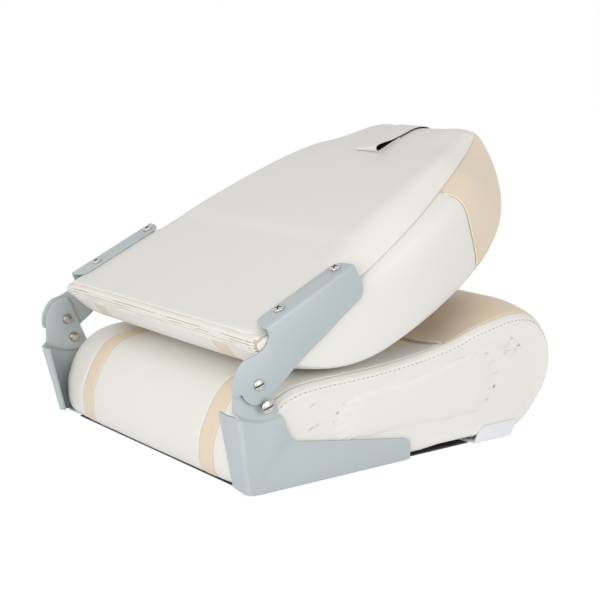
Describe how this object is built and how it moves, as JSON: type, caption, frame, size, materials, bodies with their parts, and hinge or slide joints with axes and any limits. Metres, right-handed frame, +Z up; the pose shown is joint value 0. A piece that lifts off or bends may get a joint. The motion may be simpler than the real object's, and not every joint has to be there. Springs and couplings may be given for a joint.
{
  "type": "folding boat seat",
  "caption": "Folding boat seat: padded seat on a moulded base, padded backrest hinged on steel side brackets, shown folded over the cushion.",
  "frame": {"origin": "on the floor, under the middle of the folded seat's box", "axes": "+Z up, X across the seat with the occupant's right at -X, the seat's front faces -Y and the hinge lies at +Y"},
  "size_m": [0.4294, 0.5539, 0.3795],
  "materials": {
    "white_vinyl": "soft sheen marine vinyl",
    "beige_vinyl": "soft sheen marine vinyl",
    "blue_grey_paint": "satin paint",
    "bright_steel": "bright",
    "white_plastic": "moulded",
    "nylon": "moulded",
    "foam": "open cell foam",
    "plywood": "raw",
    "brass": "turned"
  },
  "bodies": {
    "seat": {"seat_foam": "foam", "seat_cover_middle": "white_vinyl", "seat_front_bolster": "beige_vinyl", "seat_piping": "beige_vinyl", "seat_base": "white_plastic", "seat_stripe_right": "beige_vinyl", "seat_cover_edge_right": "white_vinyl", "seat_side_panel_right": "white_vinyl", "lower_bracket_right": "blue_grey_paint", "pivot_screw_right": "bright_steel", "pivot_nut_right": "bright_steel", "pivot_washer_right": "nylon", "stop_screw_right": "bright_steel", "stop_nut_right": "bright_steel", "base_screw_rear_right": "bright_steel", "threaded_insert_rear_right": "brass", "base_screw_front_right": "bright_steel", "threaded_insert_front_right": "brass", "seat_stripe_left": "beige_vinyl", "seat_cover_edge_left": "white_vinyl", "seat_side_panel_left": "white_vinyl", "lower_bracket_left": "blue_grey_paint", "pivot_screw_left": "bright_steel", "pivot_nut_left": "bright_steel", "pivot_washer_left": "nylon", "stop_screw_left": "bright_steel", "stop_nut_left": "bright_steel", "base_screw_rear_left": "bright_steel", "threaded_insert_rear_left": "brass", "base_screw_front_left": "bright_steel", "threaded_insert_front_left": "brass"},
    "backrest": {"back_foam": "foam", "back_padding": "foam", "back_board": "plywood", "back_cover_rear": "white_vinyl", "back_cover_front": "white_vinyl", "back_bolster": "beige_vinyl", "back_hem": "white_vinyl", "hold_down_strap": "white_vinyl", "strap_stud": "bright_steel", "back_stripe_right": "beige_vinyl", "back_cover_edge_right": "white_vinyl", "back_side_panel_right": "white_vinyl", "arm_right": "blue_grey_paint", "arm_screw_near_right": "bright_steel", "t_nut_near_right": "bright_steel", "arm_screw_far_right": "bright_steel", "t_nut_far_right": "bright_steel", "back_stripe_left": "beige_vinyl", "back_cover_edge_left": "white_vinyl", "back_side_panel_left": "white_vinyl", "arm_left": "blue_grey_paint", "arm_screw_near_left": "bright_steel", "t_nut_near_left": "bright_steel", "arm_screw_far_left": "bright_steel", "t_nut_far_left": "bright_steel"}
  },
  "joints": [
    {"name": "backrest_hinge", "type": "hinge", "parent": "seat", "child": "backrest", "pos_m": [0, 0.2435, 0.1227], "axis": [-1, 0, 0], "range_deg": [0, 83]}
  ]
}
